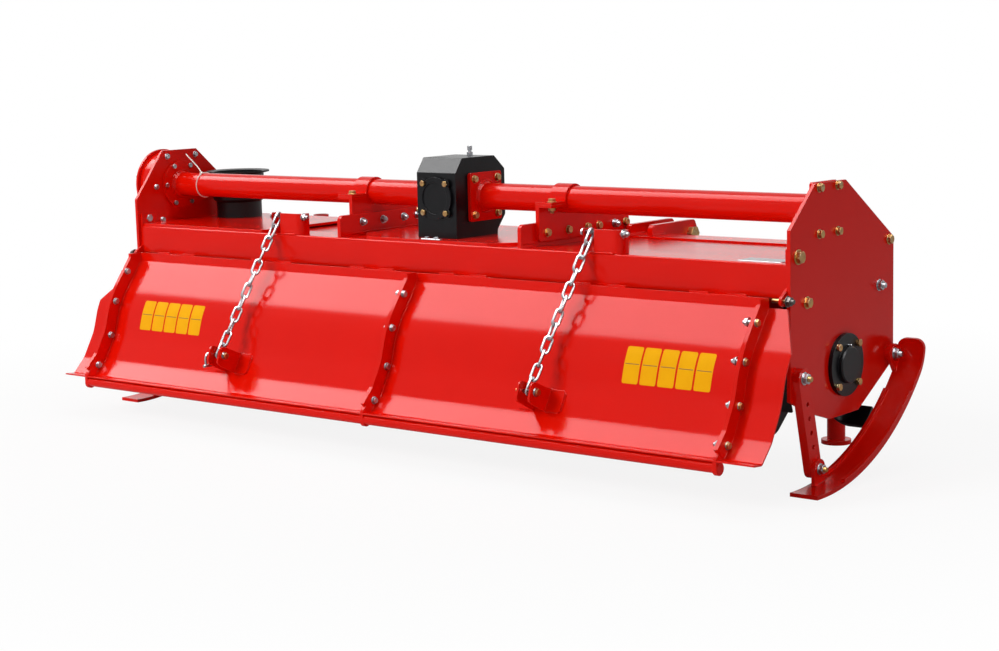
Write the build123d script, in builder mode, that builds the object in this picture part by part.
from build123d import *
import os
from math import atan2, cos, degrees, hypot, radians, sin, sqrt

# Rotary tiller with a 2.3 m working width, in millimetres.
# +X is the tiller's right hand, +Y the way it is pulled, +Z up. The ground is z = 0.
# Unless a comment says otherwise, y and z values are measured from the axis of the top tube.

# ---------------------------------------------------------------- driving sizes
TUBE_H = 684.0  # top tube axis above the ground
PLATE_X = 1190.0  # middle of the machine to the outer face of a side plate
PLATE_T = 10.0
ROTOR_Y = 77.0  # rotor axis from the tube axis
ROTOR_Z = -398.0
BLADE_R = 243.0  # rotor axis to the blade tips
HITCH_X = 13.0  # middle of the hitch and of the gearbox
NOSE_Y = 505.0  # foremost point of the hitch ears
LIP_Y = -445.0  # rearmost point of the apron
CLEAR = 0.3  # gap between pieces that turn or slide in each other

TUBE_Y = -(NOSE_Y + LIP_Y) / 2  # keeps the origin in the middle of the length

# Sketch planes on the tube axis: SIDE has (forward, up), TOP has (right, forward),
# REAR and FRONT have up as their second direction and face backwards and forwards.
AXIS = (0, TUBE_Y, TUBE_H)
SIDE = Plane(origin=AXIS, x_dir=(0, 1, 0), z_dir=(1, 0, 0))
TOP = Plane(origin=AXIS, x_dir=(1, 0, 0), z_dir=(0, 0, 1))
REAR = Plane(origin=AXIS, x_dir=(1, 0, 0), z_dir=(0, -1, 0))
FRONT = Plane(origin=AXIS, x_dir=(-1, 0, 0), z_dir=(0, 1, 0))
GROUND_Z = -TUBE_H
PLATE_IN = PLATE_X - PLATE_T

os.makedirs("parts", exist_ok=True)


def save(piece, name):
    """Label a finished piece and write its STEP file."""
    piece.part.label = name
    export_step(piece.part, f"parts/{name}.step")


# ---------------------------------------------------------------- side plates
# Outline of a side plate as (y, z); the rear, front and lower corners are common to both.
LOWER_OUTLINE = [(334, -420), (149, -526), (7, -527), (-86, -499), (-183, -456)]
RIGHT_TOP = [(-181, -37), (-62, 68), (86, 68), (334, -96)]
LEFT_TOP = [(-185, -37), (-70, 110), (72, 110), (334, -120)]
BEARING_BORE_R = 46.0

for name, x_in, top in (
    ("side_plate_right", PLATE_IN, RIGHT_TOP),
    ("side_plate_left", -PLATE_X, LEFT_TOP),
):
    with BuildPart() as plate:
        with BuildSketch(SIDE.offset(x_in)):
            with BuildLine():
                Polyline(*top, *LOWER_OUTLINE, close=True)
            make_face()
            with Locations((ROTOR_Y, ROTOR_Z)):
                Circle(BEARING_BORE_R, mode=Mode.SUBTRACT)
        extrude(amount=PLATE_T)
    save(plate, name)

# ---------------------------------------------------------------- beams and hood
BEAM_REAR_Y = -175.0
BEAM_D = 60.0  # depth of each beam's box
BEAM_TOP_Z = -120.0
BEAM_BOTTOM_Z = -205.0
BEAM_WALL = 5.0
BEAM_LIP = 115.0  # width of the rear beam's top flange
FRONT_LIP = 94.0  # width of the front beam's top flange
HOOD_FRONT_Y = 334.0
END_FLANGE_T = 8.0
END_FLANGE_TOP_Z = -83.0
BEAM_HALF = PLATE_IN  # the beams reach from plate to plate
HINGE_Y = -195.0  # apron hinge line, just behind the rear beam's lower edge
HINGE_Z = -207.0
LUG_R = 13.0  # ear on each end of the rear beam that holds the end of the hinge line
LUG_HOLE_R = 5.5
beam_mid_z = (BEAM_TOP_Z + BEAM_BOTTOM_Z) / 2
beam_h = BEAM_TOP_Z - BEAM_BOTTOM_Z

with BuildPart() as rear_beam:
    with BuildSketch(SIDE.offset(-BEAM_HALF)):
        with Locations((BEAM_REAR_Y + BEAM_D / 2, beam_mid_z)):
            RectangleRounded(BEAM_D, beam_h, BEAM_WALL)
            Rectangle(BEAM_D - 2 * BEAM_WALL, beam_h - 2 * BEAM_WALL, mode=Mode.SUBTRACT)
        with Locations((BEAM_REAR_Y + BEAM_D / 2, BEAM_TOP_Z)):
            Rectangle(BEAM_LIP - BEAM_D / 2, BEAM_WALL, align=(Align.MIN, Align.MAX))
    extrude(amount=2 * BEAM_HALF)
    for x in (-BEAM_HALF, BEAM_HALF - END_FLANGE_T):
        with BuildSketch(SIDE.offset(x)):
            with Locations((BEAM_REAR_Y, BEAM_BOTTOM_Z)):
                Rectangle(BEAM_D, END_FLANGE_TOP_Z - BEAM_BOTTOM_Z, align=(Align.MIN, Align.MIN))
        extrude(amount=END_FLANGE_T)
        with BuildSketch(SIDE.offset(x)):
            with Locations((HINGE_Y, HINGE_Z)):
                Circle(LUG_R)
            with Locations((BEAM_REAR_Y + BEAM_WALL, HINGE_Z + 2 * LUG_R)):
                Circle(BEAM_WALL)
            make_hull()
            with Locations((HINGE_Y, HINGE_Z)):
                Circle(LUG_HOLE_R, mode=Mode.SUBTRACT)
        extrude(amount=END_FLANGE_T)
save(rear_beam, "rear_beam")

with BuildPart() as front_beam:
    with BuildSketch(SIDE.offset(-BEAM_HALF)):
        with Locations((HOOD_FRONT_Y - BEAM_D / 2, beam_mid_z)):
            RectangleRounded(BEAM_D, beam_h, BEAM_WALL)
            Rectangle(BEAM_D - 2 * BEAM_WALL, beam_h - 2 * BEAM_WALL, mode=Mode.SUBTRACT)
        with Locations((HOOD_FRONT_Y - BEAM_D / 2, BEAM_TOP_Z)):
            Rectangle(FRONT_LIP - BEAM_D / 2, BEAM_WALL, align=(Align.MAX, Align.MAX))
    extrude(amount=2 * BEAM_HALF)
save(front_beam, "front_beam")

HOOD_T = 5.0
HOOD_FRONT_BOTTOM_Z = -340.0
with BuildPart() as hood_top:
    with BuildSketch(TOP.offset(BEAM_TOP_Z - BEAM_WALL - HOOD_T)):
        with Locations((0, BEAM_REAR_Y + BEAM_D)):
            Rectangle(
                2 * BEAM_HALF,
                HOOD_FRONT_Y - BEAM_REAR_Y - 2 * BEAM_D,
                align=(Align.CENTER, Align.MIN),
            )
    extrude(amount=HOOD_T)
save(hood_top, "hood_top")

with BuildPart() as hood_front:
    with BuildSketch(FRONT.offset(HOOD_FRONT_Y - HOOD_T)):
        with Locations((0, HOOD_FRONT_BOTTOM_Z)):
            Rectangle(
                2 * BEAM_HALF, BEAM_BOTTOM_Z - HOOD_FRONT_BOTTOM_Z, align=(Align.CENTER, Align.MIN)
            )
    extrude(amount=HOOD_T)
save(hood_front, "hood_front")

# The hitch ears set where the rails, the saddle plates and the middle deck go.
EAR_OUT = 457.0  # middle of the hitch to the outer face of the outer ear
EAR_T = 16.0
EAR_GAP = 59.0
SADDLE_T = 12.0
RAIL_T = 12.0
EAR_TO_SADDLE = 15.0
RAIL_TO_DECK = 15.0
RAIL_IN = EAR_OUT - 2 * EAR_T - EAR_GAP - EAR_TO_SADDLE - SADDLE_T - RAIL_T

DECK_T = 8.0
DECK_REAR_Y = -170.0
DECK_FRONT_Y = 260.0
DECK_LEFT_END = 540.0  # length of the walk-on plate at the left end
MID_DECK_HALF = RAIL_IN - RAIL_TO_DECK
MID_DECK_CORNER = 90.0
DECK_TOP_Z = BEAM_TOP_Z + DECK_T
deck_d = DECK_FRONT_Y - DECK_REAR_Y

with BuildPart() as deck_left:
    with BuildSketch(TOP.offset(BEAM_TOP_Z)):
        with Locations((-BEAM_HALF, DECK_REAR_Y)):
            Rectangle(DECK_LEFT_END, deck_d, align=(Align.MIN, Align.MIN))
        with Locations((-BEAM_HALF, DECK_REAR_Y)):
            Rectangle(
                END_FLANGE_T + CLEAR, BEAM_D, align=(Align.MIN, Align.MIN), mode=Mode.SUBTRACT
            )
    extrude(amount=DECK_T)
save(deck_left, "deck_left")

with BuildPart() as deck_middle:
    with BuildSketch(TOP.offset(BEAM_TOP_Z)):
        with Locations((HITCH_X, (DECK_REAR_Y + DECK_FRONT_Y) / 2)):
            deck_outline = Rectangle(2 * MID_DECK_HALF, deck_d)
        chamfer(deck_outline.vertices(), MID_DECK_CORNER)
    extrude(amount=DECK_T)
save(deck_middle, "deck_middle")

# ---------------------------------------------------------------- gearbox
GEARBOX_HALF = 71.0  # half width, across the machine
GEARBOX_REAR_Y = -120.0
GEARBOX_FRONT_Y = 95.0
GEARBOX_TOP_Z = 111.0
GEARBOX_FOOT_Y = 60.0  # front of the foot, behind the sloping chin
GEARBOX_OUTLINE = [
    (GEARBOX_REAR_Y, DECK_TOP_Z),
    (GEARBOX_REAR_Y, 70),
    (-90, GEARBOX_TOP_Z),
    (50, GEARBOX_TOP_Z),
    (GEARBOX_FRONT_Y, 72),
    (GEARBOX_FRONT_Y, -58),
    (GEARBOX_FOOT_Y, -100),
    (GEARBOX_FOOT_Y, DECK_TOP_Z),
]
GEARBOX_EDGE_R = 5.0
REAR_CAP_R = 59.0
REAR_CAP_T = 9.0
REAR_CAP_DISH_R = 45.0
REAR_CAP_DISH = 3.0
CAP_BOLT = 41.0  # bolts of the rear cap, each way from its middle
LOBE_R = 13.0
INPUT_BOSS_R = 60.0
INPUT_BOSS_T = 10.0
INPUT_NECK_R = 40.0
INPUT_BOSS_L = 28.0
SHAFT_R = 17.4
SHAFT_L = 105.0
SPLINES = 6
SPLINE_L = 70.0
SPLINE_GAP = 8.6  # width of the groove between two splines
SPLINE_DEPTH = 2.7
SHAFT_CHAMFER = 1.6

with BuildPart() as gearbox_housing:
    with BuildSketch(SIDE.offset(HITCH_X - GEARBOX_HALF)):
        with BuildLine():
            Polyline(*GEARBOX_OUTLINE, close=True)
        make_face()
    extrude(amount=2 * GEARBOX_HALF)
    fillet(gearbox_housing.edges().filter_by(Axis.X).group_by(Axis.Z)[1:], GEARBOX_EDGE_R)
    for radius, length in ((INPUT_BOSS_R, INPUT_BOSS_T), (INPUT_NECK_R, INPUT_BOSS_L)):
        with BuildSketch(FRONT.offset(GEARBOX_FRONT_Y)):
            with Locations((-HITCH_X, 0)):
                Circle(radius)
        extrude(amount=length)
    with BuildSketch(FRONT.offset(GEARBOX_FRONT_Y)):
        with Locations((-HITCH_X, 0)):
            Circle(SHAFT_R + CLEAR)
    extrude(amount=INPUT_BOSS_L, mode=Mode.SUBTRACT)
save(gearbox_housing, "gearbox_housing")

with BuildPart() as gearbox_rear_cap:
    with BuildSketch(REAR.offset(-GEARBOX_REAR_Y)):
        with Locations((HITCH_X, 0)):
            Circle(REAR_CAP_R)
            with GridLocations(2 * CAP_BOLT, 2 * CAP_BOLT, 2, 2):
                Circle(LOBE_R)
    extrude(amount=REAR_CAP_T)
    with BuildSketch(REAR.offset(-GEARBOX_REAR_Y + REAR_CAP_T)):
        with Locations((HITCH_X, 0)):
            Circle(REAR_CAP_DISH_R)
    extrude(amount=-REAR_CAP_DISH, mode=Mode.SUBTRACT)
save(gearbox_rear_cap, "gearbox_rear_cap")

with BuildPart() as input_shaft:
    with BuildSketch(FRONT.offset(GEARBOX_FRONT_Y + CLEAR)):
        with Locations((-HITCH_X, 0)):
            Circle(SHAFT_R)
    extrude(amount=SHAFT_L)
    chamfer(input_shaft.faces().sort_by(Axis.Y)[-1].edges(), SHAFT_CHAMFER)
    with BuildSketch(FRONT.offset(GEARBOX_FRONT_Y + CLEAR + SHAFT_L - SPLINE_L)):
        with Locations((-HITCH_X, 0)):
            with PolarLocations(SHAFT_R, SPLINES):
                Rectangle(2 * SPLINE_DEPTH, SPLINE_GAP)
    extrude(amount=SPLINE_L, mode=Mode.SUBTRACT)
save(input_shaft, "input_shaft")

BREATHER_X = HITCH_X - 5
BREATHER_Y = 35.0
# The breather's base nut, neck and cap: radius and length upwards.
BREATHER_STACK = [(9.0, 9.0), (5.0, 5.0), (7.0, 12.0)]
with BuildPart() as breather:
    stack_z = GEARBOX_TOP_Z
    for radius, length in BREATHER_STACK:
        with BuildSketch(TOP.offset(stack_z)):
            with Locations((BREATHER_X, BREATHER_Y)):
                if stack_z == GEARBOX_TOP_Z:
                    RegularPolygon(radius, 6)
                else:
                    Circle(radius)
        extrude(amount=length)
        stack_z += length
save(breather, "breather")

# ---------------------------------------------------------------- top tube
TUBE_R = 37.0
TUBE_WALL = 7.0
WELD = 8.0  # weld collar where the tube meets a flange
SQUARE_FLANGE = 136.0
SQUARE_FLANGE_CORNER = 8.0
FLANGE_T = 10.0
ROUND_FLANGE_R = 76.0
RIGHT_FLANGE_D = 118.0
RIGHT_FLANGE_H = 140.0

for name, x0, x1 in (
    ("tube_left", -PLATE_IN, HITCH_X - GEARBOX_HALF),
    ("tube_right", HITCH_X + GEARBOX_HALF, PLATE_IN),
):
    gearbox_face = x1 - FLANGE_T if name == "tube_left" else x0
    plate_face = x0 if name == "tube_left" else x1 - FLANGE_T
    with BuildPart() as tube:
        with BuildSketch(SIDE.offset(x0)):
            Circle(TUBE_R)
        extrude(amount=x1 - x0)
        with BuildSketch(SIDE.offset(gearbox_face)):
            RectangleRounded(SQUARE_FLANGE, SQUARE_FLANGE, SQUARE_FLANGE_CORNER)
        extrude(amount=FLANGE_T)
        with BuildSketch(SIDE.offset(plate_face)):
            if name == "tube_left":
                Circle(ROUND_FLANGE_R)
            else:
                RectangleRounded(RIGHT_FLANGE_D, RIGHT_FLANGE_H, SQUARE_FLANGE_CORNER)
        extrude(amount=FLANGE_T)
        collars = tube.edges().filter_by(GeomType.CIRCLE)
        chamfer(collars.filter_by(lambda edge: abs(edge.radius - TUBE_R) < CLEAR), WELD)
        with BuildSketch(SIDE.offset(x0)):
            Circle(TUBE_R - TUBE_WALL)
        extrude(amount=x1 - x0, mode=Mode.SUBTRACT)
    save(tube, name)

# ---------------------------------------------------------------- gear case on the left
CASE_TOP_R = 100.0
CASE_LOW_R = 128.0
CASE_D = 70.0
CASE_EDGE = 12.0
COVER_T = 8.0
COVER_RIM = 10.0
IDLER_DROP = 0.46  # share of the way from the tube axis to the rotor axis
# Bearing bosses on the cover: share of the way down, outside radius, height.
COVER_BOSSES = [(0.0, 52.0, 9.0), (IDLER_DROP, 44.0, 7.0), (1.0, 70.0, 12.0)]

with BuildPart() as gear_case:
    with BuildSketch(SIDE.offset(-PLATE_X - CASE_D)):
        Circle(CASE_TOP_R)
        with Locations((ROTOR_Y, ROTOR_Z)):
            Circle(CASE_LOW_R)
        make_hull()
    extrude(amount=CASE_D)
    chamfer(gear_case.faces().sort_by(Axis.X)[-1].edges(), CASE_EDGE)
save(gear_case, "gear_case")

with BuildPart() as gear_case_cover:
    with BuildSketch(SIDE.offset(-PLATE_X - CASE_D - COVER_T)):
        Circle(CASE_TOP_R + COVER_RIM)
        with Locations((ROTOR_Y, ROTOR_Z)):
            Circle(CASE_LOW_R + COVER_RIM)
        make_hull()
    extrude(amount=COVER_T)
    for share, radius, height in COVER_BOSSES:
        with BuildSketch(SIDE.offset(-PLATE_X - CASE_D - COVER_T)):
            with Locations((share * ROTOR_Y, share * ROTOR_Z)):
                Circle(radius)
        extrude(amount=-height, taper=COVER_T)
save(gear_case_cover, "gear_case_cover")

# ---------------------------------------------------------------- rotor
ROTOR_TUBE_R = 44.0
STUB_R = 30.0
FLANGE_R = 95.0
ROTOR_FLANGE_T = 10.0
FLANGES = 9
ROTOR_TO_PLATE = 30.0
END_FLANGE_IN = 78.0  # middle of an end flange from the rotor tube's end
ROTOR_HALF = PLATE_IN - ROTOR_TO_PLATE
STUB_BACK = 2.0  # stub ends behind the side plate's outer face
FLANGE_PITCH = 2 * (ROTOR_HALF - END_FLANGE_IN) / (FLANGES - 1)
ROTOR = Plane(origin=(0, TUBE_Y + ROTOR_Y, TUBE_H + ROTOR_Z), x_dir=(0, 1, 0), z_dir=(1, 0, 0))
flange_xs = [(i - (FLANGES - 1) / 2) * FLANGE_PITCH for i in range(FLANGES)]

with BuildPart() as rotor_shaft:
    with BuildSketch(ROTOR.offset(-ROTOR_HALF)):
        Circle(ROTOR_TUBE_R)
    extrude(amount=2 * ROTOR_HALF)
    with BuildSketch(ROTOR.offset(-PLATE_X + STUB_BACK)):
        Circle(STUB_R)
    extrude(amount=2 * (PLATE_X - STUB_BACK))
    for x in flange_xs:
        with BuildSketch(ROTOR.offset(x - ROTOR_FLANGE_T / 2)):
            Circle(FLANGE_R)
        extrude(amount=ROTOR_FLANGE_T)
save(rotor_shaft, "rotor_shaft")

# Bearing housings fill the plate's bore and carry the stub with a running gap.
for name, x in (("bearing_right", PLATE_IN), ("bearing_left", -PLATE_X)):
    with BuildPart() as bearing:
        with BuildSketch(ROTOR.offset(x)):
            Circle(BEARING_BORE_R)
            Circle(STUB_R + CLEAR, mode=Mode.SUBTRACT)
        extrude(amount=PLATE_T)
    save(bearing, name)

CAP_R = 80.0
CAP_FLANGE_T = 11.0
CAP_HUB_R = 47.0
CAP_HUB_T = 22.0
CAP_EDGE = 3.0
with BuildPart() as bearing_cap_right:
    with BuildSketch(ROTOR.offset(PLATE_X)):
        Circle(CAP_R)
    extrude(amount=CAP_FLANGE_T)
    with BuildSketch(ROTOR.offset(PLATE_X + CAP_FLANGE_T)):
        Circle(CAP_HUB_R)
    extrude(amount=CAP_HUB_T - CAP_FLANGE_T)
    chamfer(bearing_cap_right.faces().sort_by(Axis.X)[-1].edges(), CAP_EDGE)
save(bearing_cap_right, "bearing_cap_right")

# Blades: a flat leg bolted to a flange's side, swept back and bent over to a broad tip.
BLADE_T = 8.0
BLADE_REACH = 92.0
BLADE_BEND_R = 45.0
BLADE_WIDEST = 60.0
# Outline of the leg seen along the rotor: distance from the axis, trailing and leading edge.
BLADE_OUTLINE = [(50.0, -24.0, 24.0), (140.0, -20.0, 32.0), (BLADE_R, -46.0, 16.0)]
BLADES_PER_SIDE = 3
FLANGE_TWIST = 22.0  # degrees from one flange's blades to the next
SIDE_STAGGER = 30.0  # degrees between the blades on a flange's two sides
BLADE_TURN = -7.5  # degrees the first flange's right-hand blades lie ahead of straight down
blade_foot = ROTOR_FLANGE_T / 2
blade_root = BLADE_OUTLINE[0][0]
blade_tip_z = -sqrt(BLADE_R**2 - BLADE_OUTLINE[-1][1] ** 2)
blades = {}
for hand, turn_side in ((1, Side.LEFT), (-1, Side.RIGHT)):
    with BuildPart() as one_blade:
        with BuildSketch(Plane.XZ.offset(-BLADE_WIDEST)):
            with BuildLine():
                FilletPolyline(
                    (hand * blade_foot, -blade_root),
                    (hand * blade_foot, blade_tip_z),
                    (hand * (blade_foot + BLADE_REACH), blade_tip_z),
                    radius=BLADE_BEND_R,
                )
                offset(amount=BLADE_T, side=turn_side)
            make_face()
        extrude(amount=2 * BLADE_WIDEST)
        with BuildSketch(Plane.YZ):
            with BuildLine():
                trailing = [(back, -reach) for reach, back, lead in BLADE_OUTLINE]
                leading = [(lead, -reach) for reach, back, lead in reversed(BLADE_OUTLINE)]
                Polyline(*trailing, *leading, close=True)
            make_face()
        extrude(amount=BLADE_R, both=True, mode=Mode.INTERSECT)
    blades[hand] = one_blade.part

with BuildPart() as rotor_blades:
    for i, x in enumerate(flange_xs):
        for hand, stagger in ((-1, SIDE_STAGGER), (1, 0)):
            for k in range(BLADES_PER_SIDE):
                turn = BLADE_TURN + FLANGE_TWIST * i + 360 / BLADES_PER_SIDE * k + stagger
                place = Location((x, TUBE_Y + ROTOR_Y, TUBE_H + ROTOR_Z), (turn, 0, 0))
                with Locations(place):
                    add(blades[hand])
save(rotor_blades, "rotor_blades")

# ---------------------------------------------------------------- tube clamps and hitch rails
# On each side a rail stands on the deck, a saddle plate is bolted to its outer face and
# a strap holds the tube down on the saddle's lips.
RAIL_TOP_Z = -58.0
RAIL_FRONT_Y = 322.0
RAIL_ROUND = 16.0
SADDLE_REAR_Y = -105.0
SADDLE_FRONT_Y = 308.0
SADDLE_BOTTOM_Z = -108.0
SADDLE_NOSE_Z = -71.0
SADDLE_SLOPE_Y = 20.0  # from the front lip's end down to the nose's slope
SADDLE_SLOPE_Z = -45.0
SADDLE_ROUND = 8.0
LIP_W = 42.0
LIP_T = 8.0
LIP_Z = -8.0  # parting face of the clamp
STRAP_W = 54.0
STRAP_T = 6.0
STRAP_EAR_Y = 105.0
hood_top_z = BEAM_TOP_Z - BEAM_WALL

for name, hand in (("right", 1), ("left", -1)):
    rail_x = HITCH_X + (RAIL_IN if hand > 0 else -RAIL_IN - RAIL_T)
    with BuildPart() as rail:
        with BuildSketch(SIDE.offset(rail_x)):
            with BuildLine():
                Polyline(
                    (BEAM_REAR_Y + BEAM_WALL, BEAM_TOP_Z),
                    (BEAM_REAR_Y + BEAM_WALL, RAIL_TOP_Z),
                    (RAIL_FRONT_Y, RAIL_TOP_Z),
                    (RAIL_FRONT_Y, BEAM_TOP_Z),
                    (HOOD_FRONT_Y - FRONT_LIP, BEAM_TOP_Z),
                    (HOOD_FRONT_Y - FRONT_LIP, hood_top_z),
                    (BEAM_REAR_Y + BEAM_LIP, hood_top_z),
                    (BEAM_REAR_Y + BEAM_LIP, BEAM_TOP_Z),
                    close=True,
                )
            make_face()
        extrude(amount=RAIL_T)
        fillet(rail.edges().filter_by(Axis.X).group_by(Axis.Z)[-1], RAIL_ROUND)
    save(rail, f"hitch_rail_{name}")

    saddle_x = HITCH_X + (RAIL_IN + RAIL_T if hand > 0 else -RAIL_IN - RAIL_T - SADDLE_T)
    lip_x = saddle_x if hand > 0 else saddle_x - LIP_W
    with BuildPart() as saddle:
        with BuildSketch(SIDE.offset(saddle_x)):
            with BuildLine():
                Polyline(
                    (SADDLE_REAR_Y, SADDLE_BOTTOM_Z),
                    (SADDLE_REAR_Y, LIP_Z),
                    (STRAP_EAR_Y, LIP_Z),
                    (STRAP_EAR_Y + SADDLE_SLOPE_Y, SADDLE_SLOPE_Z),
                    (SADDLE_FRONT_Y, SADDLE_NOSE_Z),
                    (SADDLE_FRONT_Y, SADDLE_BOTTOM_Z),
                    close=True,
                )
            make_face()
            Circle(TUBE_R + CLEAR, mode=Mode.SUBTRACT)
        extrude(amount=SADDLE_T)
        fillet(saddle.edges().filter_by(Axis.X).group_by(Axis.Z)[0], SADDLE_ROUND)
        with BuildSketch(TOP.offset(LIP_Z - LIP_T)):
            for y in (SADDLE_REAR_Y, TUBE_R + CLEAR):
                with Locations((lip_x, y)):
                    Rectangle(
                        LIP_W + SADDLE_T, STRAP_EAR_Y - TUBE_R - CLEAR, align=(Align.MIN, Align.MIN)
                    )
        extrude(amount=LIP_T)
        with BuildSketch(SIDE.offset(lip_x)):
            Circle(TUBE_R + CLEAR)
        extrude(amount=LIP_W + SADDLE_T, mode=Mode.SUBTRACT)
    save(saddle, f"saddle_plate_{name}")

    strap_x = lip_x + (LIP_W + SADDLE_T - STRAP_W) / 2
    with BuildPart() as strap:
        with BuildSketch(SIDE.offset(strap_x)):
            Circle(TUBE_R + CLEAR + STRAP_T)
            with Locations((0, LIP_Z)):
                Rectangle(4 * TUBE_R, 2 * TUBE_R, align=(Align.CENTER, Align.MAX), mode=Mode.SUBTRACT)
                Rectangle(2 * STRAP_EAR_Y, STRAP_T, align=(Align.CENTER, Align.MIN))
            Circle(TUBE_R + CLEAR, mode=Mode.SUBTRACT)
        extrude(amount=STRAP_W)
    save(strap, f"clamp_strap_{name}")

# ---------------------------------------------------------------- lower hitch
EAR_TOP_Z = -92.0
EAR_REAR_Y = 270.0
EAR_BOTTOM_Z = -250.0
EAR_SLOPE_Y = 6.0
EAR_ROUND = 14.0
PIN_R = 14.0
PIN_Z = -131.0
PIN_Y = 466.0
PIN_HEAD_R = 21.0
PIN_HEAD_T = 16.0
HITCH_PLATE_T = 12.0
ear_round = NOSE_Y - PIN_Y

for name, hand in (("right", 1), ("left", -1)):
    outer = HITCH_X + hand * EAR_OUT
    ears_x0 = min(outer, outer - hand * (2 * EAR_T + EAR_GAP))
    with BuildPart() as clevis:
        for x in (ears_x0, ears_x0 + EAR_T + EAR_GAP):
            with BuildSketch(SIDE.offset(x)) as ear:
                with BuildLine():
                    Polyline(
                        (EAR_REAR_Y, BEAM_TOP_Z),
                        (EAR_REAR_Y + EAR_SLOPE_Y, EAR_TOP_Z),
                        (NOSE_Y - ear_round / 2, EAR_TOP_Z),
                        (NOSE_Y, PIN_Z),
                        (NOSE_Y - ear_round / 2, 2 * PIN_Z - EAR_TOP_Z),
                        (HOOD_FRONT_Y + HITCH_PLATE_T, EAR_BOTTOM_Z),
                        (HOOD_FRONT_Y, EAR_BOTTOM_Z),
                        (HOOD_FRONT_Y, BEAM_TOP_Z),
                        close=True,
                    )
                make_face()
                fillet(ear.vertices().group_by(Axis.Y)[-1], EAR_ROUND)
            extrude(amount=EAR_T)
        with BuildSketch(FRONT.offset(HOOD_FRONT_Y)):
            with Locations((-(ears_x0 + EAR_T + EAR_GAP / 2), EAR_BOTTOM_Z)):
                Rectangle(EAR_GAP, BEAM_TOP_Z - EAR_BOTTOM_Z, align=(Align.CENTER, Align.MIN))
        extrude(amount=HITCH_PLATE_T)
        with BuildSketch(SIDE.offset(ears_x0)):
            with Locations((PIN_Y, PIN_Z)):
                Circle(PIN_R + CLEAR)
        extrude(amount=2 * EAR_T + EAR_GAP, mode=Mode.SUBTRACT)
    save(clevis, f"hitch_clevis_{name}")

    head_x = ears_x0 + 2 * EAR_T + EAR_GAP if hand > 0 else ears_x0 - PIN_HEAD_T
    with BuildPart() as pin:
        with BuildSketch(SIDE.offset(ears_x0 - PIN_HEAD_T)):
            with Locations((PIN_Y, PIN_Z)):
                Circle(PIN_R)
        extrude(amount=2 * EAR_T + EAR_GAP + 2 * PIN_HEAD_T)
        with BuildSketch(SIDE.offset(head_x)):
            with Locations((PIN_Y, PIN_Z)):
                RegularPolygon(PIN_HEAD_R, 6)
        extrude(amount=PIN_HEAD_T)
    save(pin, f"hitch_pin_{name}")

# ---------------------------------------------------------------- apron
KNUCKLE_R = 7.0
HINGE_L = 168.0
HINGE_XS = [-989.0, -572.0, -167.0, 171.0, 632.0, 995.0]
LEAF_T = 4.0
LEAF_UP = 5.0  # the moving leaves reach above the apron's flange
PANEL_T = 4.0
PANEL_TOP_Z = HINGE_Z + KNUCKLE_R
# Outer face of the pressed apron sheet, from its top flange down to its lip, and the
# radius of each bend between the two ends.
PANEL = [
    (-207, PANEL_TOP_Z),
    (-207, -224),
    (-277, -317),
    (-305, -365),
    (-327, -442),
    (-370, -518),
    (-412, -561),
    (LIP_Y, -558),
]
PANEL_BENDS = [8.0, 200.0, 200.0, 150.0, 60.0, 8.0]
RIB_H = 40.0
RIB_T = 6.0
RIB_BENDS = [4.0, 240.0, 240.0, 110.0, 20.0]  # radii along a rib's free edge
RIB_LEFT_X = -1154.0
RIB_MID_X = 3.0
RIB_RIGHT_X = 1140.0
WING_END_X = 1250.0
# The top corner cut off each wing: where the cut starts, as (x, z), and the height it ends at.
LEFT_CUT = ((RIB_LEFT_X - RIB_T, -262.0), -346.0)
RIGHT_CUT = ((1197.0, PANEL[1][1]), -320.0)


def beside(points, distance):
    """The corners of a line drawn beside the given one, on its right."""
    runs = [(Vector(*b) - Vector(*a)).normalized() for a, b in zip(points, points[1:])]
    sides = [Vector(run.Y, -run.X) for run in runs]
    corners = []
    for point, before, after in zip(points, sides[:1] + sides, sides + sides[-1:]):
        shift = (before + after) * (distance / (1 + before.dot(after)))
        corners.append((point[0] + shift.X, point[1] + shift.Y))
    return corners


for name, x0, x1 in (
    ("apron_panel_left", RIB_LEFT_X, RIB_MID_X),
    ("apron_panel_right", RIB_MID_X, RIB_RIGHT_X),
    ("apron_wing_left", -WING_END_X, RIB_LEFT_X),
    ("apron_wing_right", RIB_RIGHT_X, WING_END_X),
):
    wing = "wing" in name
    sheet_line = PANEL[1:] if wing else PANEL
    sheet_bends = PANEL_BENDS[1:] if wing else PANEL_BENDS
    with BuildPart() as panel:
        with BuildSketch(SIDE.offset(x0)):
            with BuildLine():
                FilletPolyline(*sheet_line, radius=sheet_bends)
                offset(amount=PANEL_T, side=Side.LEFT)
            make_face()
        extrude(amount=x1 - x0)
        if wing:
            (cut_x, cut_z), end_z = LEFT_CUT if x0 < 0 else RIGHT_CUT
            end_x = x0 if x0 < 0 else x1
            with BuildSketch(REAR):
                with BuildLine():
                    Polyline(
                        (cut_x, cut_z),
                        (cut_x, PANEL_TOP_Z),
                        (end_x, PANEL_TOP_Z),
                        (end_x, end_z),
                        close=True,
                    )
                make_face()
            extrude(amount=-LIP_Y, mode=Mode.SUBTRACT)
        rib_xs = [x0, x1 - RIB_T]
        if wing:
            rib_xs = [x0] if name.endswith("right") else [x1 - RIB_T]
        for x in rib_xs:
            with BuildSketch(SIDE.offset(x)):
                with BuildLine():
                    foot = FilletPolyline(*PANEL[:-1], radius=PANEL_BENDS[:-1])
                    crest = FilletPolyline(*beside(PANEL[:-1], RIB_H), radius=RIB_BENDS)
                    Line(foot @ 0, crest @ 0)
                    Line(foot @ 1, crest @ 1)
                make_face()
            extrude(amount=RIB_T)
    save(panel, name)

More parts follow.
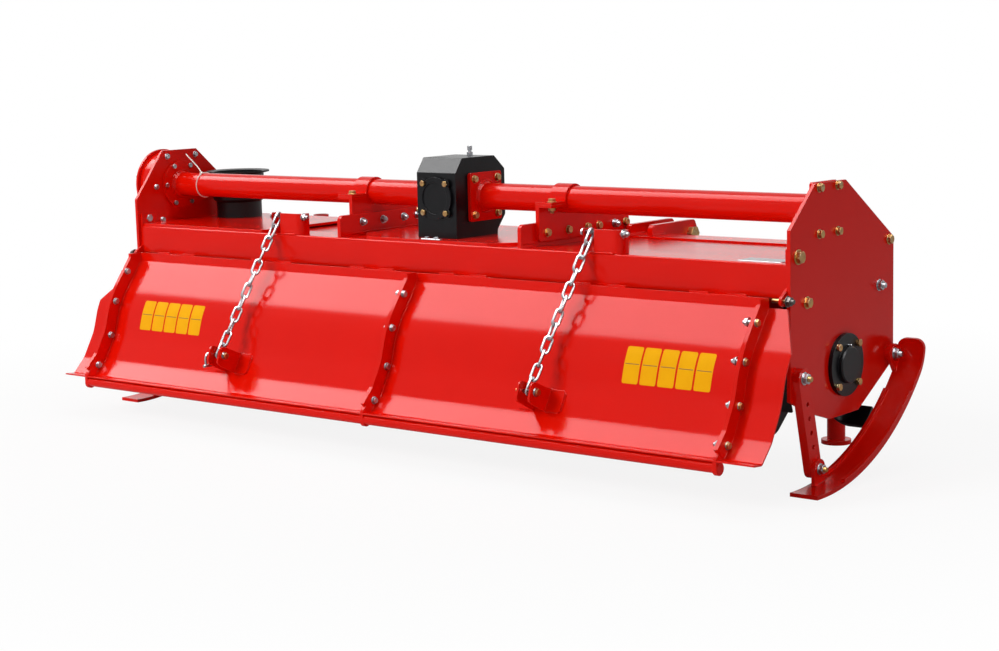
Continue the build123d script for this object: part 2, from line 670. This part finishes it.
with BuildPart() as hinge_fixed:
    for x in HINGE_XS:
        with BuildSketch(SIDE.offset(x - HINGE_L / 6)):
            with Locations((HINGE_Y, HINGE_Z)):
                Circle(KNUCKLE_R)
            with Locations((HINGE_Y, BEAM_BOTTOM_Z)):
                Rectangle(BEAM_REAR_Y + BEAM_D - HINGE_Y, LEAF_T, align=(Align.MIN, Align.MAX))
        extrude(amount=HINGE_L / 3)
        with BuildSketch(SIDE.offset(x - HINGE_L / 2)):
            with Locations((HINGE_Y, HINGE_Z)):
                Circle(KNUCKLE_R / 2)
        extrude(amount=HINGE_L)
save(hinge_fixed, "hinge_fixed")

with BuildPart() as hinge_moving:
    for x in HINGE_XS:
        for start in (x - HINGE_L / 2, x + HINGE_L / 6 + CLEAR):
            with BuildSketch(SIDE.offset(start)):
                with Locations((HINGE_Y, HINGE_Z)):
                    Circle(KNUCKLE_R)
                with Locations((PANEL[0][0] + PANEL_T, PANEL[1][1])):
                    Rectangle(
                        LEAF_T, PANEL_TOP_Z + LEAF_UP - PANEL[1][1], align=(Align.MIN, Align.MIN)
                    )
                with Locations((HINGE_Y, HINGE_Z)):
                    Circle(KNUCKLE_R / 2 + CLEAR, mode=Mode.SUBTRACT)
            extrude(amount=HINGE_L / 3 - CLEAR)
save(hinge_moving, "hinge_moving")

ROD_R = 14.0
ROD_END = 5.0
ROD_SET = 2.0  # rod's middle behind the middle of the lip's underside
lip_mid = ((PANEL[-1][0] + PANEL[-2][0]) / 2, (PANEL[-1][1] + PANEL[-2][1]) / 2)
rod_y = lip_mid[0] - ROD_SET
rod_z = lip_mid[1] - PANEL_T - ROD_R - CLEAR
with BuildPart() as bottom_rod:
    with BuildSketch(SIDE.offset(RIB_LEFT_X)):
        with Locations((rod_y, rod_z)):
            Circle(ROD_R)
    extrude(amount=RIB_RIGHT_X - RIB_LEFT_X)
    chamfer(bottom_rod.edges().filter_by(GeomType.CIRCLE), ROD_END)
save(bottom_rod, "bottom_rod")

# ---------------------------------------------------------------- chains and their brackets
CHAIN_BOLT_R = 5.0
UP_BOLT_Z = -68.0
CHAIN_TOP_X = {"left": -573.0, "right": 580.0}
CHAIN_LOW_X = {"left": -592.0, "right": 555.0}
LINKS = 12
WIRE_R = 3.75
WIRE_SIDES = 8
LINK_W = 20.0  # between the centre lines of a link's two sides
LINK_STEP = 30.0  # degrees turned at each corner of a link's end
UP_SHEET = 6.0
UP_BRACKET_REAR_Y = -173.0
UP_BRACKET_W = 125.0
UP_BRACKET_D = 36.0
UP_BRACKET_H = 62.0
UP_BRACKET_ROUNDS = [9.0, 24.0]  # outside radius of the bracket's chain end and bolt end
NOTCH_W = 34.0
NOTCH_FOOT = 2.0
BOLT_SET = 1.0  # gap between the upper bolt and the sheet in front of it
BOLT_OUT = 10.0  # length of a chain bolt beyond the sheet that holds it
up_bolt_y = UP_BRACKET_REAR_Y + UP_SHEET + CHAIN_BOLT_R + BOLT_SET
EAR_SPACE = 17.0  # chain centre to the near face of each lower ear
EAR_SHEET = 6.0
# Corners of a lower ear and the lower bolt: distance down the apron's slope, distance from it.
LOW_EAR = [(18.0, 0.0), (28.0, 89.0), (82.0, 79.0), (79.0, 0.0)]
LOW_EAR_ROUND = 14.0
LOW_BOLT = (49.0, 64.0)
PAD_W = 52.0
PAD_ROUND = 10.0
ear_foot = Vector(*PANEL[4])
ear_run = Vector(*PANEL[5]) - ear_foot
ear_along = ear_run.normalized()
ear_out = Vector(ear_along.Y, -ear_along.X)


def on_apron(along, out):
    """A point (y, z) by its distance down the apron's slope and its distance from the sheet."""
    place = ear_foot + ear_along * along + ear_out * out
    return (place.X, place.Y)


LOW_BOLT_Y, LOW_BOLT_Z = on_apron(*LOW_BOLT)

for name in ("left", "right"):
    bracket_x0 = CHAIN_TOP_X[name] - NOTCH_W / 2 - UP_SHEET
    bracket_x1 = bracket_x0 + UP_BRACKET_W
    bracket_front_y = UP_BRACKET_REAR_Y + UP_BRACKET_D
    with BuildPart() as up_bracket:
        with BuildSketch(TOP.offset(BEAM_TOP_Z)):
            with BuildLine():
                FilletPolyline(
                    (bracket_x0, bracket_front_y),
                    (bracket_x0, UP_BRACKET_REAR_Y),
                    (bracket_x1, UP_BRACKET_REAR_Y),
                    (bracket_x1, bracket_front_y),
                    radius=UP_BRACKET_ROUNDS,
                )
                offset(amount=UP_SHEET, side=Side.LEFT)
            make_face()
        extrude(amount=UP_BRACKET_H)
        with BuildSketch(TOP.offset(BEAM_TOP_Z + NOTCH_FOOT)):
            with Locations((CHAIN_TOP_X[name], UP_BRACKET_REAR_Y - 1)):
                Rectangle(NOTCH_W, UP_SHEET + 2, align=(Align.CENTER, Align.MIN))
        extrude(amount=UP_BRACKET_H, mode=Mode.SUBTRACT)
        with BuildSketch(SIDE.offset(bracket_x0 - BOLT_OUT)):
            with Locations((up_bolt_y, UP_BOLT_Z)):
                Circle(CHAIN_BOLT_R)
        extrude(amount=UP_BRACKET_W + 2 * BOLT_OUT)
    save(up_bracket, f"chain_bracket_upper_{name}")

    low_x = CHAIN_LOW_X[name]
    with BuildPart() as low_bracket:
        for hand in (-1, 1):
            ear_x0 = low_x + EAR_SPACE if hand > 0 else low_x - EAR_SPACE - EAR_SHEET
            pad_x0 = ear_x0 if hand > 0 else ear_x0 + EAR_SHEET - PAD_W
            with BuildSketch(SIDE.offset(ear_x0)):
                with BuildLine():
                    low_ear = [on_apron(*corner) for corner in LOW_EAR]
                    FilletPolyline(*low_ear, radius=LOW_EAR_ROUND)
                    Line(low_ear[-1], low_ear[0])
                make_face()
            extrude(amount=EAR_SHEET)
            with BuildSketch(SIDE.offset(pad_x0)):
                with BuildLine():
                    Polyline(
                        on_apron(LOW_EAR[0][0], 0),
                        on_apron(LOW_EAR[-1][0], 0),
                        on_apron(LOW_EAR[-1][0], EAR_SHEET),
                        on_apron(LOW_EAR[0][0], EAR_SHEET),
                        close=True,
                    )
                make_face()
            extrude(amount=PAD_W)
        pad_reach = EAR_SPACE + PAD_W - 1
        short_edges = low_bracket.edges().filter_by(
            lambda edge: abs(edge.length - EAR_SHEET) < CLEAR
        )
        pad_corners = short_edges.filter_by(
            lambda edge: abs(edge.center().X - low_x) > pad_reach
        )
        fillet(pad_corners, PAD_ROUND)
        with BuildSketch(SIDE.offset(low_x - EAR_SPACE - EAR_SHEET - BOLT_OUT)):
            with Locations((LOW_BOLT_Y, LOW_BOLT_Z)):
                Circle(CHAIN_BOLT_R)
        extrude(amount=2 * (EAR_SPACE + EAR_SHEET + BOLT_OUT))
    save(low_bracket, f"chain_bracket_lower_{name}")

    # The chain runs straight from bolt to bolt. Its links turn by about a quarter each, so
    # that the first and the last both sit square on their bolts.
    top = Vector(CHAIN_TOP_X[name], TUBE_Y + up_bolt_y, TUBE_H + UP_BOLT_Z)
    low = Vector(low_x, TUBE_Y + LOW_BOLT_Y, TUBE_H + LOW_BOLT_Z)
    run = low - top
    pitch = (run.length + 2 * CHAIN_BOLT_R + CLEAR) / LINKS
    link_l = pitch + CLEAR + 2 * WIRE_R  # between the centre lines of a link's two ends
    link_half = LINK_W / 2
    corner_r = link_half / cos(radians(LINK_STEP / 2))
    corner_turns = [90 - LINK_STEP * (i + 0.5) for i in range(int(180 / LINK_STEP))]
    far_end = [
        (link_l - LINK_W + corner_r * cos(radians(turn)), corner_r * sin(radians(turn)))
        for turn in corner_turns
    ]
    near_end = [(link_l - LINK_W - x, -y) for x, y in far_end]
    with BuildPart() as link:
        with BuildLine() as link_path:
            Polyline(*far_end, *near_end, close=True)
        with BuildSketch(Plane((0, link_half, 0), x_dir=(0, 1, 0), z_dir=(-1, 0, 0))):
            RegularPolygon(WIRE_R, WIRE_SIDES, rotation=180 / WIRE_SIDES)
        sweep(path=link_path.wires()[0], transition=Transition.RIGHT)
    first = -(CHAIN_BOLT_R + WIRE_R + CLEAR) + link_half
    link_turn = 180 * (LINKS // 2) / (LINKS - 1)
    square = Vector(1, 0, 0) - run * (run.X / run.dot(run))
    with BuildPart() as chain:
        for i in range(LINKS):
            centre = top + run.normalized() * (first + i * pitch)
            across = square.rotate(Axis((0, 0, 0), run), i * link_turn)
            place = Plane(origin=centre, x_dir=run, z_dir=across)
            with Locations(place.location):
                add(link.part)
    save(chain, f"chain_{name}")

# ---------------------------------------------------------------- depth skids and their struts
SKID_LOW_Y = -184.0
SKID_R = 662.0  # outside radius of the runner's sole
SKID_BEND = 49.5  # degrees along the sole from its lowest point to where the front bends up
SKID_FRONT_R = 120.0
SKID_FRONT_TURN = 46.5
SKID_TO_PLATE = 10.0
SKID_W = 77.0
SKID_T = 10.0
SKID_TAIL_Y = -205.0
SKID_ROUND = 26.0
SKID_STRIP_H = 8.0
SKID_STRIP = (10.0, 44.0)  # degrees along the sole where its edge strips start and end
PIVOT_Y = 307.0
PIVOT_Z = -400.0
PIVOT_LUG = 26.0  # outside radius of the pivot lug
LUG_FOOT = 30.0  # degrees of the front bend that the lug is welded to
SKID_BOSS_R = 20.0
STRUT_TOP = (-155.0, -399.0)
STRUT_LOW = (-98.0, GROUND_Z + 52)
STRUT_W = 50.0
STRUT_D = 22.0
STRUT_WALL = 5.0
STRUT_HOLES = 4
STRUT_HOLE_R = 6.0
STRUT_HOLE_PITCH = 38.0
FIRST_HOLE = 58.0  # lowest hole above the strut's lower bolt
SKID_EAR_T = 10.0
skid_in_x = PLATE_X + SKID_TO_PLATE
skid_cy, skid_cz = SKID_LOW_Y, GROUND_Z + SKID_R
bend_cy = skid_cy + (SKID_R - SKID_FRONT_R) * sin(radians(SKID_BEND))
bend_cz = skid_cz - (SKID_R - SKID_FRONT_R) * cos(radians(SKID_BEND))
tail_turn = degrees(atan2(SKID_TAIL_Y - SKID_LOW_Y, SKID_R))
strut_run = (STRUT_LOW[0] - STRUT_TOP[0], STRUT_LOW[1] - STRUT_TOP[1])
strut_l = hypot(*strut_run)

for name, hand in (("right", 1), ("left", -1)):
    runner_x0 = skid_in_x if hand > 0 else -skid_in_x - SKID_W
    lug_x0 = skid_in_x if hand > 0 else -skid_in_x - SKID_EAR_T
    boss_x0 = PLATE_X if hand > 0 else -skid_in_x
    ear_x0 = PLATE_X + STRUT_D if hand > 0 else -PLATE_X - STRUT_D - SKID_EAR_T
    with BuildPart() as skid:
        with BuildSketch(SIDE.offset(runner_x0)):
            with BuildLine():
                sole = CenterArc(
                    (skid_cy, skid_cz), SKID_R, tail_turn - 90, SKID_BEND - tail_turn
                )
                JernArc(sole @ 1, sole % 1, SKID_FRONT_R, SKID_FRONT_TURN)
                offset(amount=SKID_T, side=Side.LEFT)
            make_face()
        extrude(amount=SKID_W)
        runner_ends = skid.edges().filter_by(lambda edge: abs(edge.length - SKID_T) < CLEAR)
        fillet(runner_ends.sort_by(Axis.Z)[-2:], SKID_ROUND)
        for x in (runner_x0, runner_x0 + SKID_W - SKID_T):
            with BuildSketch(SIDE.offset(x)):
                with BuildLine():
                    strip_foot = CenterArc(
                        (skid_cy, skid_cz), SKID_R, SKID_STRIP[0] - 90, SKID_STRIP[1] - SKID_STRIP[0]
                    )
                    strip_top = CenterArc(
                        (skid_cy, skid_cz),
                        SKID_R - SKID_T - SKID_STRIP_H,
                        SKID_STRIP[0] - 90,
                        SKID_STRIP[1] - SKID_STRIP[0],
                    )
                    Line(strip_foot @ 0, strip_top @ 0)
                    Line(strip_foot @ 1, strip_top @ 1)
                make_face()
            extrude(amount=SKID_T)
        with BuildSketch(SIDE.offset(lug_x0)):
            with Locations((PIVOT_Y, PIVOT_Z)):
                Circle(PIVOT_LUG)
            for turn in (SKID_BEND, SKID_BEND + LUG_FOOT):
                with Locations(
                    (
                        bend_cy + (SKID_FRONT_R - SKID_T / 2) * sin(radians(turn)),
                        bend_cz - (SKID_FRONT_R - SKID_T / 2) * cos(radians(turn)),
                    )
                ):
                    Circle(SKID_T / 2)
            make_hull()
        extrude(amount=SKID_EAR_T)
        with BuildSketch(SIDE.offset(boss_x0)):
            with Locations((PIVOT_Y, PIVOT_Z)):
                Circle(SKID_BOSS_R)
        extrude(amount=SKID_TO_PLATE)
        with BuildSketch(SIDE.offset(ear_x0)):
            with Locations(STRUT_LOW):
                Circle(STRUT_W / 2)
            with Locations((STRUT_LOW[0], GROUND_Z + 1.2 * SKID_T)):
                Rectangle(STRUT_W, SKID_T / 4)
            make_hull()
        extrude(amount=SKID_EAR_T)
    save(skid, f"skid_{name}")

    # The strut is a channel, open towards the side plate.
    strut_plane = Plane(
        origin=SIDE.from_local_coords((*STRUT_TOP, PLATE_X if hand > 0 else -PLATE_X - STRUT_D)),
        x_dir=(0, strut_run[0], strut_run[1]),
        z_dir=(1, 0, 0),
    )
    with BuildPart() as strut:
        with BuildSketch(strut_plane):
            with Locations((strut_l / 2, 0)):
                SlotCenterToCenter(strut_l, STRUT_W)
        extrude(amount=STRUT_D)
        with BuildSketch(strut_plane.offset(0 if hand > 0 else STRUT_WALL)):
            with Locations((strut_l / 2, 0)):
                Rectangle(strut_l - STRUT_W, STRUT_W - 2 * STRUT_WALL)
        extrude(amount=STRUT_D - STRUT_WALL, mode=Mode.SUBTRACT)
        with BuildSketch(strut_plane):
            for i in range(STRUT_HOLES):
                with Locations((strut_l - FIRST_HOLE - STRUT_HOLE_PITCH * i, 0)):
                    Circle(STRUT_HOLE_R)
        extrude(amount=STRUT_D, mode=Mode.SUBTRACT)
    save(strut, f"strut_{name}")

# ---------------------------------------------------------------- parking stands
STAND_X = 970.0
STAND_Y = 422.0
LEG_R = 25.0
LEG_WALL = 5.0
LEG_TOP_Z = -125.0
FOOT_R = 41.0
FOOT_T = 12.0
SLEEVE_R = 32.5
SLEEVE_TOP_Z = -135.0
SLEEVE_BOTTOM_Z = -330.0
SLEEVE_PLATE_T = 12.0
SLEEVE_FOOT_W = 90.0  # mounting plate on the hood's front
SLEEVE_FOOT_T = 8.0

for name, hand in (("right", 1), ("left", -1)):
    with BuildPart() as sleeve:
        with BuildSketch(TOP.offset(SLEEVE_BOTTOM_Z)):
            with Locations((hand * STAND_X, STAND_Y)):
                Circle(SLEEVE_R)
            with Locations((hand * STAND_X, HOOD_FRONT_Y)):
                Rectangle(
                    SLEEVE_PLATE_T, STAND_Y - HOOD_FRONT_Y, align=(Align.CENTER, Align.MIN)
                )
                Rectangle(SLEEVE_FOOT_W, SLEEVE_FOOT_T, align=(Align.CENTER, Align.MIN))
            with Locations((hand * STAND_X, STAND_Y)):
                Circle(LEG_R + CLEAR, mode=Mode.SUBTRACT)
        extrude(amount=SLEEVE_TOP_Z - SLEEVE_BOTTOM_Z)
    save(sleeve, f"stand_sleeve_{name}")
    with BuildPart() as leg:
        with BuildSketch(TOP.offset(GROUND_Z + FOOT_T)):
            with Locations((hand * STAND_X, STAND_Y)):
                Circle(LEG_R)
                Circle(LEG_R - LEG_WALL, mode=Mode.SUBTRACT)
        extrude(amount=LEG_TOP_Z - GROUND_Z - FOOT_T)
        with BuildSketch(TOP.offset(GROUND_Z)):
            with Locations((hand * STAND_X, STAND_Y)):
                Circle(FOOT_R)
        extrude(amount=FOOT_T)
    save(leg, f"stand_leg_{name}")

# ---------------------------------------------------------------- drive-shaft guard
# A stepped plastic cup that stands loose on the left deck.
GUARD_X = -1060.0
GUARD_Y = 140.0
# The cup's section, from the inside of its foot round to the inside of its mouth:
# radius and height above the deck.
GUARD_SECTION = [
    (67, 0),
    (72, 0),
    (72, 50),
    (82, 58),
    (82, 140),
    (100, 144),
    (100, 149),
    (77, 146),
    (77, 60),
    (67, 52),
]
with BuildPart() as pto_guard:
    with BuildSketch(SIDE.offset(GUARD_X)):
        with BuildLine():
            section = [(GUARD_Y + radius, DECK_TOP_Z + height) for radius, height in GUARD_SECTION]
            Polyline(*section, close=True)
        make_face()
    revolve(axis=Axis((GUARD_X, TUBE_Y + GUARD_Y, 0), (0, 0, 1)))
save(pto_guard, "pto_guard")
